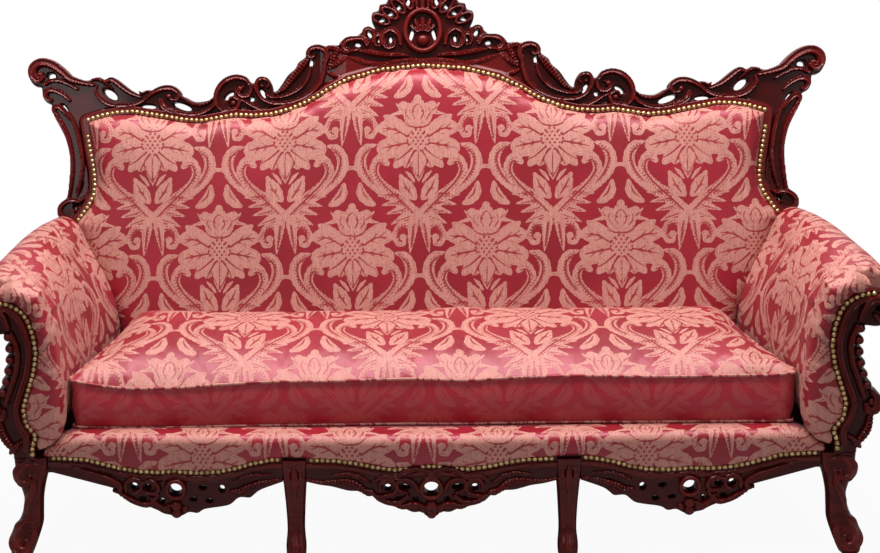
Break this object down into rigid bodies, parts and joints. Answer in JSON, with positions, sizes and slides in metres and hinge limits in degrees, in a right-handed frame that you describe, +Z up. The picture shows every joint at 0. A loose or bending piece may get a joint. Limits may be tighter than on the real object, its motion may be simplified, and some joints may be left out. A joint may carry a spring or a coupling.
{
  "type": "baroque sofa",
  "caption": "Carved show-wood sofa with a pierced shell crest, scrolled padded arms, cabriole legs, nail-trimmed damask upholstery and a loose box cushion that lifts off.",
  "frame": {"origin": "on the floor under the middle of the sofa's width and depth", "axes": "+X to the sitter's left, along the sofa, -Y towards the front, +Z up"},
  "size_m": [2.142, 0.8558, 1.2716],
  "materials": {
    "carved_mahogany": "high gloss",
    "frame_beech": "matte",
    "damask": "satin",
    "back_cloth": "satin",
    "black_cloth": "matte",
    "zip_tape": "matte",
    "foam": "matte",
    "antique_brass": "polished",
    "spring_steel": "satin",
    "glide_plastic": "matte"
  },
  "bodies": {
    "sofa_frame": {"apron_left": "carved_mahogany", "apron_middle": "carved_mahogany", "apron_right": "carved_mahogany", "arm_cover_left": "damask", "arm_cover_right": "damask", "arm_facing_left": "carved_mahogany", "arm_facing_right": "carved_mahogany", "arm_foam_left": "foam", "arm_foam_right": "foam", "arm_outer_panel_left": "damask", "arm_outer_panel_right": "damask", "arm_post_left": "frame_beech", "arm_post_right": "frame_beech", "arm_rail_left": "frame_beech", "arm_rail_right": "frame_beech", "back_cover": "damask", "back_foam": "foam", "back_lower_rail": "frame_beech", "back_muntins": "frame_beech", "back_outer_panel": "back_cloth", "back_side_carving_left": "carved_mahogany", "back_side_carving_right": "carved_mahogany", "back_stile_left": "frame_beech", "back_stile_right": "frame_beech", "back_upper_rail": "frame_beech", "back_webbing": "black_cloth", "block_screws": "spring_steel", "corner_blocks": "frame_beech", "crest": "carved_mahogany", "dust_cover": "black_cloth", "floor_glides": "glide_plastic", "front_leg_left": "carved_mahogany", "front_leg_right": "carved_mahogany", "front_mid_leg_left": "carved_mahogany", "front_mid_leg_right": "carved_mahogany", "front_rail": "carved_mahogany", "nails_arm_left": "antique_brass", "nails_arm_right": "antique_brass", "nails_back": "antique_brass", "nails_front": "antique_brass", "rear_leg_left": "carved_mahogany", "rear_leg_right": "carved_mahogany", "rear_mid_leg_left": "carved_mahogany", "rear_mid_leg_right": "carved_mahogany", "rear_rail": "frame_beech", "seat_border": "damask", "seat_braces": "frame_beech", "seat_deck": "foam", "seat_springs": "spring_steel", "side_rail_left": "frame_beech", "side_rail_right": "frame_beech", "spring_clips": "spring_steel", "top_rail_left": "carved_mahogany", "top_rail_right": "carved_mahogany"},
    "seat_cushion": {"cushion_core": "foam", "cushion_cover": "damask", "cushion_welt_bottom": "damask", "cushion_welt_top": "damask", "cushion_zip": "zip_tape"}
  },
  "joints": [
    {"name": "cushion_lift", "type": "slide", "parent": "sofa_frame", "child": "seat_cushion", "axis": [0, 0, 1], "range_m": [0, 0.42]}
  ]
}
